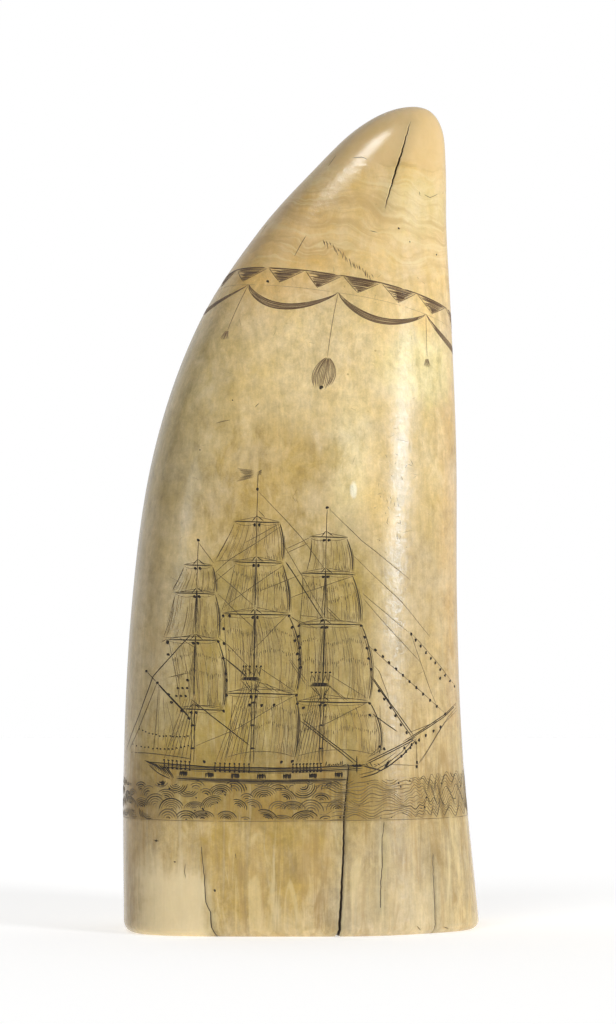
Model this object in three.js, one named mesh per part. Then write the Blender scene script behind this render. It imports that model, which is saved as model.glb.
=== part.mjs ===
// An engraved sperm whale tooth that stands upright on its cut root.
// Millimetres. +Z is up, +X runs across the broad side towards the tip's side, and the engraved face looks along -Y.
// The origin is under the middle of the tooth, on the plane of the root face.
import * as THREE from "three";

const height = 170; // root face to tip
const rimRadius = 2; // rounded edge round the root face
const rootWall = 8.5; // thickness of the tooth round the mouth of the pulp cavity
const pulpDepth = 58; // root face to the top of the pulp cavity
const ringSides = 64; // vertices round each ring
const outerRings = 38; // rings from the tip down to the rim
const rimRings = 4;
const pulpRings = 10;

// The outline, from the tip down: both edges of the broad side, the middle of the section from front to back,
// and half its depth. All four leave the tip as smooth curves of the square root of the drop below it.
const outline = [
  { z: 170, left: 23.6, right: 23.6, middle: 1.5, halfDepth: 0 },
  { z: 169, left: 18.3, right: 27.0, middle: 1.5, halfDepth: 3.6 },
  { z: 165, left: 11.3, right: 29.5, middle: 1.5, halfDepth: 7.0 },
  { z: 157, left: 3.0, right: 30.2, middle: 1.4, halfDepth: 10.2 },
  { z: 144, left: -8.6, right: 30.3, middle: 1.2, halfDepth: 13.8 },
  { z: 124, left: -21.4, right: 31.3, middle: 0.8, halfDepth: 18.0 },
  { z: 98, left: -30.3, right: 32.4, middle: 0.4, halfDepth: 21.6 },
  { z: 66, left: -34.8, right: 32.5, middle: 0.1, halfDepth: 24.0 },
  { z: 32, left: -36.4, right: 33.9, middle: 0, halfDepth: 25.2 },
  { z: 0, left: -36.3, right: 37.1, middle: 0, halfDepth: 25.0 },
];

// Sections are superellipses: round at the tip, and squarer towards the root. There they are squarest at the
// front's left corner and the back's right one, as if the tooth were turned a little, and nearly round between.
const tipExponent = 2;
const exponentGain = 1.3;
const exponentSkew = 1.2;
const pulpExponent = 2.2;
const pulpTaper = 1.4; // above 1, the cavity's sides swell and its top is rounded

const dropOf = (z) => Math.sqrt(1 - z / height);

const edges = new THREE.CubicInterpolant(
  outline.map((p) => dropOf(p.z)),
  outline.flatMap((p) => [p.left, p.right, p.middle, p.halfDepth]),
  4,
);

// The tooth's section at a height: its centre, half width, half depth, exponent and how the exponent is skewed.
function sectionAt(z) {
  const [left, right, middle, halfDepth] = edges.evaluate(dropOf(z));
  return {
    x: (left + right) / 2,
    y: middle,
    halfWidth: (right - left) / 2,
    halfDepth,
    exponent: tipExponent + exponentGain * dropOf(z),
    skew: exponentSkew * dropOf(z),
  };
}

// One horizontal ring of a superellipse, counter-clockwise seen from above.
function ring(section, z) {
  const { x, y, halfWidth, halfDepth, exponent, skew } = section;
  return Array.from({ length: ringSides }, (_, i) => {
    const angle = (2 * Math.PI * i) / ringSides;
    const c = Math.cos(angle);
    const s = Math.sin(angle);
    const n = exponent + skew * Math.sin(2 * angle);
    const reach = (Math.abs(c) ** n + Math.abs(s) ** n) ** (-1 / n);
    return new THREE.Vector3(
      x + halfWidth * reach * c,
      y + halfDepth * reach * s,
      z,
    );
  });
}

function inset(section, by) {
  return {
    ...section,
    halfWidth: section.halfWidth - by,
    halfDepth: section.halfDepth - by,
  };
}

// Rings are even in the drop's square root, so they crowd together where the tip turns over.
function outerWall() {
  const lowest = dropOf(rimRadius);
  return Array.from({ length: outerRings }, (_, i) => {
    const drop = (lowest * (i + 1)) / outerRings;
    const z = height * (1 - drop * drop);
    return ring(sectionAt(z), z);
  });
}

// A quarter round from the wall in to the root face.
function rim() {
  return Array.from({ length: rimRings }, (_, i) => {
    const turn = (((i + 1) / rimRings) * Math.PI) / 2;
    const z = i + 1 === rimRings ? 0 : rimRadius * (1 - Math.sin(turn));
    return ring(inset(sectionAt(z), rimRadius * (1 - Math.cos(turn))), z);
  });
}

// The cone-shaped cavity that the nerve once filled. It follows the tooth's own lean.
function pulpCavity() {
  const mouth = {
    ...inset(sectionAt(0), rootWall),
    exponent: pulpExponent,
    skew: 0,
  };
  return Array.from({ length: pulpRings }, (_, i) => {
    const share = 1 - i / pulpRings;
    const z = pulpDepth * (1 - share ** pulpTaper);
    const { x, y } = sectionAt(z);
    return ring(
      {
        ...mouth,
        x,
        y,
        halfWidth: mouth.halfWidth * share,
        halfDepth: mouth.halfDepth * share,
      },
      z,
    );
  });
}

// One closed skin over a stack of rings, with a point at each end of the stack.
function skin(first, rings, last) {
  const points = [first, ...rings.flat(), last];
  const at = (r, i) => 1 + r * ringSides + (i % ringSides);
  const end = points.length - 1;
  const triangles = [];
  for (let i = 0; i < ringSides; i++) {
    triangles.push(0, at(0, i), at(0, i + 1));
    for (let r = 0; r + 1 < rings.length; r++) {
      triangles.push(at(r, i), at(r + 1, i), at(r + 1, i + 1));
      triangles.push(at(r, i), at(r + 1, i + 1), at(r, i + 1));
    }
    triangles.push(at(rings.length - 1, i), end, at(rings.length - 1, i + 1));
  }
  const geometry = new THREE.BufferGeometry().setFromPoints(points);
  geometry.setIndex(triangles);
  geometry.computeVertexNormals();
  return geometry;
}

function toothGeometry() {
  const tip = new THREE.Vector3(outline[0].left, outline[0].middle, height);
  const top = sectionAt(pulpDepth);
  const pulpTop = new THREE.Vector3(top.x, top.y, pulpDepth);
  const geometry = skin(tip, [...outerWall(), ...rim(), ...pulpCavity()], pulpTop);
  geometry.computeBoundingBox();
  const middle = geometry.boundingBox.getCenter(new THREE.Vector3());
  return geometry.translate(-middle.x, -middle.y, 0);
}

const tooth = new THREE.Mesh(
  toothGeometry(),
  new THREE.MeshStandardMaterial({ color: 0xd9bd86, roughness: 0.35, metalness: 0 }),
);
tooth.name = "tooth";

const whaleTooth = new THREE.Group();
whaleTooth.add(tooth);

export default whaleTooth;
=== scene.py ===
import math

import bpy
import numpy as np
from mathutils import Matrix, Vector


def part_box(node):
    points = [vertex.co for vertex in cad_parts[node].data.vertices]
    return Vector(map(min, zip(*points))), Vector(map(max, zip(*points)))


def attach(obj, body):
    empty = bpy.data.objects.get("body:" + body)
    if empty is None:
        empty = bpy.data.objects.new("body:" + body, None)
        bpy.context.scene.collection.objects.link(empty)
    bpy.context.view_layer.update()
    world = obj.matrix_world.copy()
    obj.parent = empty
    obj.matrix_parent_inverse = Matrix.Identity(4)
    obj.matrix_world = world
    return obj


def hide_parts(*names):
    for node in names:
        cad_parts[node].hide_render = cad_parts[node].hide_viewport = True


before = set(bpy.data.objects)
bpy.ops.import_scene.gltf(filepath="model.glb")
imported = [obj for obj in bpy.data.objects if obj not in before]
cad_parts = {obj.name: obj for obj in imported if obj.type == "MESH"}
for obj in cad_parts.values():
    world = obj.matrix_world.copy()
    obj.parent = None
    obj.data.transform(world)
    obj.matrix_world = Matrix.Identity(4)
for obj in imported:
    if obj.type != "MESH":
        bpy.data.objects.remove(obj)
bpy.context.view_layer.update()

# An engraved sperm whale tooth standing on its root. The tooth is worked out in millimetres: x across,
# y into the depth, z up. Angles go round it from the front middle, positive towards +x.
lowCorner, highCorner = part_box("tooth")
dice = np.random.default_rng(1841)
print("frame loaded, the tooth is", round(highCorner.z - lowCorner.z, 4), "m tall")


# ---- shape of the tooth

toothForm = {
    "outline": (  # height, left edge, right edge, middle of the depth, half depth
        (170, 23.6, 23.6, 1.5, 0),
        (169, 18.3, 27.0, 1.5, 3.6),
        (165, 11.3, 29.5, 1.5, 7.0),
        (157, 3.0, 30.2, 1.4, 10.2),
        (144, -8.6, 30.3, 1.2, 13.8),
        (124, -21.4, 31.3, 0.8, 18.0),
        (98, -30.3, 32.4, 0.4, 21.6),
        (66, -34.8, 32.5, 0.1, 24.0),
        (32, -36.4, 33.9, 0, 25.2),
        (0, -36.3, 37.1, 0, 25.0),
    ),
    "roundness": (2, 1.3),  # superellipse exponent at the tip, and what it gains by the root
    "skew": 1.2,  # how much squarer the front's left corner and the back's right one are at the root
    "rim": 2,
    "wall": 8.5,  # thickness round the mouth of the pulp cavity
    "mouthRound": 0.8,
    "pulpDepth": 58,
    "pulpExponent": 2.2,
    "pulpTaper": 1.4,
    "columns": 320,
    "rows": 262,
    "crowding": 0.8,  # below 1, rows are closer together at the tip
}

outline = np.array(toothForm["outline"], float)
height = outline[0, 0]
unit = (highCorner.z - lowCorner.z) / height  # metres in one millimetre of the drawing


def dropAt(up):
    # square root of the share of the height below the tip
    return np.sqrt(np.clip(1 - np.asarray(up, float) / height, 0, 1))


def splineThrough(knots, values, at):
    # cubic through the values; the slope at a knot is the mean of its two chords
    chord = np.diff(values, axis=0) / np.diff(knots)[:, None]
    slope = np.concatenate([chord[:1], (chord[:-1] + chord[1:]) / 2, chord[-1:]])
    left = np.clip(np.searchsorted(knots, at, side="right") - 1, 0, len(knots) - 2)
    gap = (knots[left + 1] - knots[left])[..., None]
    t = (at - knots[left])[..., None] / gap
    start = (1 + 2 * t) * (1 - t) ** 2 * values[left] + t * (1 - t) ** 2 * gap * slope[left]
    finish = t * t * (3 - 2 * t) * values[left + 1] + t * t * (t - 1) * gap * slope[left + 1]
    return start + finish


def sectionAt(drop):
    # centre across, centre in depth, half width, half depth, exponent and skew of one level section
    edges = splineThrough(dropAt(outline[:, 0]), outline[:, 1:], np.asarray(drop, float))
    left, right, middle, halfDepth = np.moveaxis(edges, -1, 0)
    first, gain = toothForm["roundness"]
    exponent, skew = first + gain * drop, toothForm["skew"] * drop
    return (left + right) / 2 - centreShift, middle, (right - left) / 2, halfDepth, exponent, skew


def ringPoint(angle, section, up):
    # superellipse in polar form: reach is (|sin|^n + |cos|^n) to the power -1/n, where n is
    # the exponent less the skew times the sine of twice the angle
    x, y, halfWidth, halfDepth, exponent, skew = section
    n = exponent - skew * np.sin(2 * angle)
    reach = (np.abs(np.sin(angle)) ** n + np.abs(np.cos(angle)) ** n) ** (-1 / n)
    across = x + halfWidth * reach * np.sin(angle)
    deep = y - halfDepth * reach * np.cos(angle)
    return np.stack(np.broadcast_arrays(across, deep, up), axis=-1)


def wallAt(angle, drop):
    # a point of the outer wall: the level section's superellipse at height 1 - drop squared
    return ringPoint(angle, sectionAt(drop), height * (1 - drop**2))


def outwardAt(angle, drop, step=1e-3):
    # unit normal: cross product of small steps down the wall and round it
    drop = np.clip(drop, 2 * step, 1)
    round_ = wallAt(angle + step, drop) - wallAt(angle - step, drop)
    down = wallAt(angle, drop + step) - wallAt(angle, drop - step)
    normal = np.cross(down, round_)
    return normal / np.linalg.norm(normal, axis=-1, keepdims=True)


def swellAt(angle, up):
    # unevenness left by hand scraping: long shallow waves down the tooth and round it
    flutes = 0.05 * np.sin(5 * angle + up / 23) + 0.035 * np.sin(11 * angle - up / 41 + 1.3)
    dips = 0.04 * np.sin(up / 8.3 + 2 * np.sin(angle)) * np.sin(3 * angle + 0.7)
    return (flutes + dips) * np.clip((height - up) / 20, 0, 1)


def angleAt(across, up):
    # turns a place seen from the front into the angle round the wall at that height
    x, _, halfWidth, _, exponent, skew = sectionAt(dropAt(up))
    share = np.clip((across - x) / halfWidth, -0.9999, 0.9999)
    angle = 1.4 * share
    for _ in range(30):  # the exponent depends on the angle, so the two settle together
        n = exponent - skew * np.sin(2 * angle)
        angle = (angle + np.arctan2(share, (1 - np.abs(share) ** n) ** (1 / n))) / 2
    return angle


def layOn(angle, up, lift):
    # a place on the finished wall, lifted off it by so many millimetres, and the way it faces
    drop = dropAt(up)
    outward = outwardAt(angle, drop)
    return wallAt(angle, drop) + outward * (swellAt(angle, up) + lift)[..., None], outward


# The outline leans over its root, and the frame's origin is under the middle of its box.
centreShift = 0
allRound = np.linspace(-np.pi, np.pi, 721)
everywhere = wallAt(allRound[None, :], np.linspace(0.05, 1, 400)[:, None])
centreShift = (everywhere[..., 0].max() + everywhere[..., 0].min()) / 2


def girthAt(up):
    # millimetres round the wall from the front middle, for each of allRound's angles
    ring = wallAt(allRound, dropAt(np.full_like(allRound, up)))
    along = np.concatenate([[0], np.cumsum(np.linalg.norm(np.diff(ring, axis=0), axis=-1))])
    return along - along[len(along) // 2]


# ---- meshes

def addPiece(name, points, faces, attributes=None):
    mesh = bpy.data.meshes.new(name)
    mesh.from_pydata((points * unit).tolist(), [], faces)
    mesh.shade_smooth()
    for attribute, values in (attributes or {}).items():
        layer = mesh.attributes.new(attribute, "FLOAT", "POINT")
        layer.data.foreach_set("value", values.astype(np.float32))
    piece = bpy.data.objects.new(name, mesh)
    bpy.context.collection.objects.link(piece)
    return piece


def gridFaces(rows, columns, first=0):
    # quads between neighbouring rows of a grid whose columns close round
    at = first + np.arange(rows * columns).reshape(rows, columns)
    beside = np.roll(at, -1, axis=1)
    return np.stack([at[:-1], at[1:], beside[1:], beside[:-1]], axis=-1).reshape(-1, 4).tolist()


def unitised(vectors):
    return vectors / np.maximum(np.linalg.norm(vectors, axis=-1, keepdims=True), 1e-9)


def facingOut(grid):
    # unit normals of a grid: cross product of the step down the rows and the step along the columns
    along = np.roll(grid, -1, axis=1) - np.roll(grid, 1, axis=1)
    down = np.gradient(grid, axis=0)
    return unitised(np.cross(down, along))


# ---- drying cracks

cracks = (  # path as (across, up) from the top down; widths at the top, in the middle and at the bottom;
    # faint is how much paler than black it is
    {"path": ((9.6, 35), (9.1, 29.2), (8.6, 24.2), (8.4, 15.3), (8.0, 7.8), (7.6, 0)),
     "width": (0.18, 0.3, 0.42), "depth": 1.1, "room": 0.32, "faint": 0},
    {"path": ((16.8, 23.4), (16.3, 19), (16.4, 14.2), (16.1, 11), (15.9, 5.6)),
     "width": (0.1, 0.26, 0.1), "depth": 0.4, "room": 0.18, "faint": 0.3},
    {"path": ((26.9, 16.2), (27.0, 10.6), (27.3, 5), (27.3, 0)),
     "width": (0.12, 0.28, 0.34), "depth": 0.7, "room": 0.26, "faint": 0.1},
    {"path": ((-20.3, 18.8), (-20.0, 15.3), (-19.6, 12), (-19.3, 6.6), (-18.4, 5.4), (-18.3, 2.8),
              (-17.6, 0)),
     "width": (0.1, 0.24, 0.28), "depth": 0.35, "room": 0.2, "faint": 0.35},
    {"path": ((22.4, 166.4), (20.7, 160.2), (19.2, 155.6), (18.1, 151.8), (17.0, 148)),
     "width": (0.08, 0.36, 0.1), "depth": 0.8, "room": 0.5, "faint": 0.1},
)
crackWobble = ((0.05, 1.3), (0.03, 3.1), (0.02, 6.7))  # millimetres, and turns per millimetre down


def crackAt(crack, up):
    # angle of the crack's line at a height, its half width there and how far it has begun
    across, heights = np.array(crack["path"], float).T
    length = heights[0] - heights[-1]
    place = (heights[0] - up) / length
    line = np.interp(up, heights[::-1], across[::-1])
    for size, turns in crackWobble:
        line = line + size * np.sin(turns * up * 2.2 + across[0])
    gape = np.interp(place, [0, 0.5, 1], crack["width"]) / 2
    begun = np.clip(place / 0.04, 0, 1)
    if heights[-1] > 0:
        begun = begun * np.clip((1 - place) / 0.04, 0, 1)
    return angleAt(line, np.clip(up, 0, height - 0.5)), gape, begun


def gatherColumns(angles, ups, crack, squeeze=0.7, fade=9):
    # moves the nearest column onto the crack's line and draws its neighbours in, by the square
    # of 1 - share squared
    line, _, _ = crackAt(crack, np.clip(ups, crack["path"][-1][1], crack["path"][0][1]))
    nearest = np.argmin(np.abs(angles[len(angles) // 2] - np.median(line)))
    past = np.maximum(ups - crack["path"][0][1], crack["path"][-1][1] - ups)
    near = 1 - np.clip(past / fade, 0, 1)
    near = near * near * (3 - 2 * near)
    away = angles - angles[:, nearest : nearest + 1]
    pull = np.clip(1 - (away / crack["room"]) ** 2, 0, 1) ** 2
    tight = np.clip(1 - (away / 0.12) ** 2, 0, 1) ** 2
    return angles + near * (pull * (line - angles[:, nearest : nearest + 1]) - squeeze * tight * away)


print("stage 1: shape functions ready")


# ---- engraving: every cut is a thin closed sliver of pigment filling a V groove, every prick a small cone

engraving = {
    "proud": 0.018,  # the pigment's top stands this far off the wall
    "depth": 0.55,  # depth of a cut as a share of its width
    "step": 0.85,  # longest step along a cut
    "wobble": 0.035,  # how far a hand-held graver wanders
    "prickSides": 10,
}


def bow(start, end, rise, count=13):
    # a parabola from start to end that rises to one side, up for a level line drawn left to right
    t = np.linspace(0, 1, count)[:, None]
    start, end = np.array(start, float), np.array(end, float)
    side = np.array([start[1] - end[1], end[0] - start[0]]) / max(np.linalg.norm(end - start), 1e-6)
    return start + t * (end - start) + 4 * t * (1 - t) * rise * side


def evenly(path, step):
    # the same path with its points no further apart than the step
    along = np.concatenate([[0], np.cumsum(np.linalg.norm(np.diff(path, axis=0), axis=1))])
    places = np.linspace(0, along[-1], max(int(np.ceil(along[-1] / step)) + 1, 4))
    return np.stack([np.interp(places, along, path[:, k]) for k in range(2)], axis=1), along[-1]


class Graver:
    # collects the cuts and pricks of one piece, then makes one mesh of them
    def __init__(self):
        self.cuts = []
        self.pricks = []

    def cut(self, path, width, tone=1.0, ends=0.3, wobble=None):
        # path in millimetres across and up the front; ends is how thin the cut gets at its ends
        path, length = evenly(np.array(path, float), engraving["step"])
        t = np.linspace(0, 1, len(path))
        wander = engraving["wobble"] if wobble is None else wobble
        phase = dice.uniform(0, 6.28, 4)
        for axis in range(2):
            slow = np.sin(length * t / 2.7 + phase[axis])
            quick = np.sin(length * t / 1.1 + phase[axis + 2])
            path[:, axis] += wander * (slow + 0.6 * quick)
        self.cutRound(angleAt(path[:, 0], path[:, 1]), path[:, 1], width, tone, ends)

    def cutRound(self, angles, ups, width, tone=1.0, ends=0.3):
        # path as angles round the tooth and heights, already close enough together
        t = np.linspace(0, 1, len(angles))
        swell = ends + (1 - ends) * np.sin(np.pi * np.clip(t, 0.02, 0.98)) ** 0.4
        self.cuts.append((np.asarray(angles, float), np.asarray(ups, float), width * swell, tone))

    def prick(self, across, up, size, tone=1.0):
        self.pricks.append((float(angleAt(across, up)), up, size, tone))

    def slivers(self):
        # each cut: left edge, right edge and bottom of the V at every point but the two ends, which
        # close to a point
        starts = np.cumsum([0] + [len(c[0]) for c in self.cuts])
        angle = np.concatenate([c[0] for c in self.cuts])
        up = np.concatenate([c[1] for c in self.cuts])
        top, outward = layOn(angle, up, np.full_like(up, engraving["proud"]))
        points, faces, tones, total = [], [], [], 0
        for (_, _, width, tone), a, b in zip(self.cuts, starts[:-1], starts[1:]):
            centre, normal = top[a:b], outward[a:b]
            ahead = np.gradient(centre, axis=0)
            side = unitised(np.cross(normal, ahead))
            half = (width / 2)[:, None]
            bottom = centre - normal * 2 * half * engraving["depth"]
            edges = np.stack([centre + side * half, centre - side * half, bottom], 1)
            inner = edges[1:-1].reshape(-1, 3)
            points += [centre[:1], inner, centre[-1:]]
            first = total + 1 + 3 * np.arange(b - a - 3)
            last = total + len(inner) + 1
            for k in range(3):
                n = (k + 1) % 3
                faces += np.stack([first + k, first + 3 + k, first + 3 + n, first + n], 1).tolist()
                faces.append([total, total + 1 + k, total + 1 + n])
                faces.append([last, last - 3 + n, last - 3 + k])
            tones.append(np.full(len(inner) + 2, tone))
            total += len(inner) + 2
        return points, faces, tones, total

    def cones(self, total):
        # each prick: a ring on the wall, a middle and a bottom
        if not self.pricks:
            return [], [], []
        angle, up, size, tone = np.array(self.pricks, float).T
        top, outward = layOn(angle, up, np.full_like(up, engraving["proud"] * 1.3))
        level = unitised(np.cross(outward, np.array([0, 0, 1.0])))
        rise = np.cross(outward, level)
        sides = engraving["prickSides"]
        turn = np.linspace(0, 2 * np.pi, sides, endpoint=False)
        oval = 0.16 * np.sin(2 * turn[None, :] + 6 * angle[:, None])
        corners = 0.1 * np.sin(3 * turn[None, :] + up[:, None])
        reach = (size[:, None] / 2 * (1 + oval + corners))[..., None]
        c, d = np.cos(turn)[None, :, None], np.sin(turn)[None, :, None]
        ring = top[:, None] + reach * (c * level[:, None] + d * rise[:, None])
        bottom = top - outward * (size * 0.6)[:, None]
        points = np.concatenate([ring, top[:, None], bottom[:, None]], axis=1).reshape(-1, 3)
        base = total + (sides + 2) * np.arange(len(size))[:, None]
        here = base + np.arange(sides)
        there = base + (np.arange(sides) + 1) % sides
        middle = np.broadcast_to(base + sides, here.shape)
        caps = np.stack([middle, there, here], -1).reshape(-1, 3).tolist()
        skirts = np.stack([middle + 1, here, there], -1).reshape(-1, 3).tolist()
        return [points], caps + skirts, [np.repeat(tone, sides + 2)]

    def make(self, name):
        points, faces, tones, total = self.slivers()
        morePoints, moreFaces, moreTones = self.cones(total)
        made = addPiece(name, np.concatenate(points + morePoints), faces + moreFaces,
                        {"tone": np.concatenate(tones + moreTones)})
        counts = len(self.cuts), "cuts,", len(self.pricks), "pricks,", len(made.data.polygons), "faces"
        print("  ", name, *counts)
        return made


# ---- the ship: a three-masted ship in profile, under all plain sail

ship = {
    "rigging": 0.11,  # width of the ropes
    "hair": 0.08,  # of the lightest ropes and of the shading
    "faintest": 0.07,
    "spar": 0.24,  # width of a yard at its middle
    "leech": 0.27,  # width of the shaded lee edge of a sail
    "pricks": 0.62,
    "sheer": (34.2, -6, 0.0017),  # height of the rail amidships, where that is, how it rises to the ends
    "stern": -31.5,
    "stem": 12.5,
    "ports": (-23.8, 5.23, 7),  # first gun port, pitch and number
}

masts = {  # foot and truck as (across, up), height of the top, and yards from the lowest up as
    # (left, right, up)
    "mizzen": {"foot": (-22.1, 35), "truck": (-20.9, 80.2), "top": 48.6,
               "yards": ((-24.4, -15.6, 46.0), (-27.3, -16.7, 60.0), (-25.7, -17.3, 69.4),
                         (-23.9, -17.9, 75.1))},
    "main": {"foot": (-10.0, 35), "truck": (-8.9, 90.5), "top": 52.0,
             "yards": ((-15.3, -0.9, 49.2), (-16.0, -2.4, 65.2), (-13.8, -3.7, 75.7), (-13.7, -4.3, 83.9))},
    "fore": {"foot": (3.9, 35), "truck": (5.2, 86.8), "top": 50.8,
             "yards": ((-1.0, 13.9, 47.5), (-0.7, 12.2, 63.2), (-0.3, 11.0, 73.4), (1.6, 9.5, 80.8))},
}

sails = (  # head left, head right, head height, foot left, foot right, foot height, belly to the
    # right, arch of the foot
    (-23.8, -18.0, 74.9, -26.4, -17.2, 69.6, 0.3, 0.2),
    (-25.6, -17.4, 69.2, -28.0, -16.8, 60.4, 0.5, 0.3),
    (-26.9, -16.8, 59.8, -24.5, -15.7, 46.4, 1.0, 0.4),
    (-13.6, -4.4, 83.7, -17.5, -3.9, 75.9, 0.5, 0.3),
    (-13.5, -3.9, 75.5, -16.2, -2.4, 65.5, 0.5, 0.4),
    (-15.7, -2.6, 65.0, -15.2, -1.1, 49.6, 1.6, 0.5),
    (-13.9, -1.2, 49.0, -15.2, -1.3, 36.4, 0.8, 1.2),
    (2.0, 9.2, 80.6, 1.0, 10.2, 73.6, 0.5, 0.3),
    (0.2, 10.2, 73.2, -0.4, 12.0, 63.5, 0.6, 0.4),
    (-0.5, 12.1, 63.0, -0.9, 13.6, 47.8, 1.4, 0.5),
    (-0.7, 13.9, 47.3, -1.2, 15.6, 36.6, 1.3, 1.3),
)


def mastLine(mast, up):
    # where the mast stands at a height: straight from foot to truck
    (footX, footUp), (truckX, truckUp) = mast["foot"], mast["truck"]
    return footX + (truckX - footX) * (up - footUp) / (truckUp - footUp)


def sailEdges(sail, share):
    # left and right edges and height of a sail at a share of the way from head to foot
    headLeft, headRight, headUp, footLeft, footRight, footUp, belly, _ = sail
    curve = 4 * share * (1 - share)
    left = headLeft + (footLeft - headLeft) * share + 0.25 * curve
    right = headRight + (footRight - headRight) * share + belly * curve
    return left, right, headUp + (footUp - headUp) * share


def engraveSail(pen, sail):
    share = np.linspace(0, 1, 15)
    left, right, up = sailEdges(sail, share)
    arch = sail[-1]
    pen.cut(np.stack([left, up], 1), ship["rigging"], 0.75)
    pen.cut(np.stack([right, up], 1), ship["leech"], 0.75, ends=0.35)
    pen.cut(np.stack([right - 0.4, up], 1)[2:], 0.16, 0.55)
    pen.cut(np.stack([right + 0.3, up], 1)[4:], 0.12, 0.5)
    pen.cut(bow((left[-1], up[-1]), (right[-1], up[-1]), arch), ship["rigging"], 0.7)
    wide, tall = right.mean() - left.mean(), up[0] - up[-1]
    for away in dice.uniform(-0.5, 1.3, 5):  # more lines along the weather leech
        a, b = np.sort(dice.uniform(0, 1, 2) * 15).astype(int)
        if b - a > 4:
            pen.cut(np.stack([left + away * share, up], 1)[a:b], ship["hair"], dice.uniform(0.3, 0.6))
    for place in np.arange(0.03, 0.98, 0.26 / wide):  # seams and shading of the cloth
        place = place + dice.normal(0, 0.008)
        start, end = np.sort(dice.uniform(-0.1, 1.1, 2))
        if end - start > 0.12:
            t = np.clip(np.linspace(start, end, 6), 0, 1)
            leftAt, rightAt, upAt = sailEdges(sail, t)
            fan = 1 + 0.04 * t * (place - 0.5)
            seam = leftAt + (rightAt - leftAt) * place * fan
            pen.cut(np.stack([seam, upAt], 1), ship["hair"], dice.uniform(0, 0.5))
    if tall > 9:
        for band in (0.2, 0.46):  # reef points
            leftAt, rightAt, upAt = sailEdges(sail, band)
            for across in np.arange(leftAt + 0.4, rightAt - 0.3, 0.42):
                drop = dice.uniform(0.4, 1.3)
                slant = dice.normal(0, 0.06)
                middle = upAt + 0.5 * np.sin(across * 0.8) + dice.normal(0, 0.12)
                pen.cut(((across, middle), (across + slant, middle - drop)), 0.1, dice.uniform(0.4, 0.9))
    for across in np.arange(right[-1] - 3.2, right[-1] - 0.4, 0.3):  # shade gathers by the lee clew
        low = up[-1] + arch * 0.3
        pen.cut(((across, low), (across - 0.25, low + dice.uniform(0.8, 0.32 * tall))), ship["hair"], 0.6)


def engraveYard(pen, mast, left, right, up):
    middle = mastLine(mast, up)
    tilt = -0.1
    thick = ship["spar"] * (0.75 + 0.02 * (right - left))
    pen.cut(((left, up - tilt), (middle, up), (right, up + tilt)), thick, 1, ends=0.35)
    peak = (middle, up + 0.11 * (right - left))
    pen.cut((peak, (left, up + 0.15)), ship["rigging"], 0.6)
    pen.cut((peak, (right, up + 0.05)), ship["rigging"], 0.6)
    for side in (left, right):  # foot ropes
        pen.cut(bow((side, up), (middle, up - 0.3), -0.55 if side < middle else 0.55), ship["hair"], 0.6)
    for away in (-0.45, 0.5):
        pen.prick(middle + away, up - 0.62, ship["pricks"])
    for slope in (-1.0, 1.5):  # crosstrees
        pen.cut(((middle, up + 1.25), (middle + slope, up + 0.1)), 0.18, 0.9)


def engraveMast(pen, mast):
    yards = mast["yards"]
    foot, top, truck = mast["foot"][1], mast["top"], mast["truck"][1]
    low = mastLine(mast, foot)
    high = mastLine(mast, top)
    for away in (-0.32, 0.3):
        pen.cut(((low + away, foot), (high + away, top)), 0.16, 0.85)
    for up in np.arange(foot + 3.2, top - 3, 4.6):  # iron bands and blocks on the lower mast
        pen.cut(((mastLine(mast, up) - 0.55, up), (mastLine(mast, up) + 0.55, up)), 0.4, 1)
    joints = (top, yards[1][2] + 1.2, yards[2][2] + 1, truck)
    for k, (a, b) in enumerate(zip(joints[:-1], joints[1:])):
        pen.cut(((mastLine(mast, a), a), (mastLine(mast, b), b)), (0.26, 0.22, 0.13)[k], 0.95, ends=0.6)
    for away in (-0.55, 0.6):  # topmast shrouds
        for k in (1, 2):
            a, b = yards[k][2] + 1, (top if k == 1 else yards[1][2]) + 0.4
            for spread, narrowing, tone in ((2.6, 0.6, 0.65), (1.7, 0.4, 0.6)):
                foot = mastLine(mast, b) + away * (spread - k * narrowing)
                pen.cut(((mastLine(mast, a), a), (foot, b)), ship["hair"], tone)
    for left, right, up in yards:
        engraveYard(pen, mast, left, right, up)
    for left, right, up in yards[:2]:
        pen.prick(left + 0.2, up - 0.3, ship["pricks"] * 0.95)
        pen.prick(right - 0.1, up - 0.3, ship["pricks"] * 0.95)
    pen.prick(*mast["truck"], ship["pricks"])


def engraveTop(pen, mast):
    # the platform at the head of the lower mast, its futtock shrouds and the gear above it
    up = mast["top"]
    middle = mastLine(mast, up)
    for lift in (0, 0.25, 0.5):
        pen.cut(((middle - 2.9 + lift, up + lift), (middle + 1.7 - lift, up + lift)), 0.26, 1)
    for away in (-2.6, -1.8, 1.0, 1.5):
        pen.cut(((middle + away, up), (middle + away * 0.15, up - 2.4)), 0.13, 0.9)
    for away in (-2.5, -1.7, -0.9, 0.1, 1.2):
        lean = dice.uniform(0.1, 0.5)
        pen.cut(((middle + away, up + 0.5), (middle + away + lean, up + 2.6)), 0.16, 0.9)
        pen.prick(middle + away + lean, up + 2.7, ship["pricks"] * 0.7)
    for away in (-2.2, -1.2, 0.4):
        pen.cut(((middle + away, up + 2.4), (middle + away + 1, up + 0.7)), 0.12, 0.85)


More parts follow.
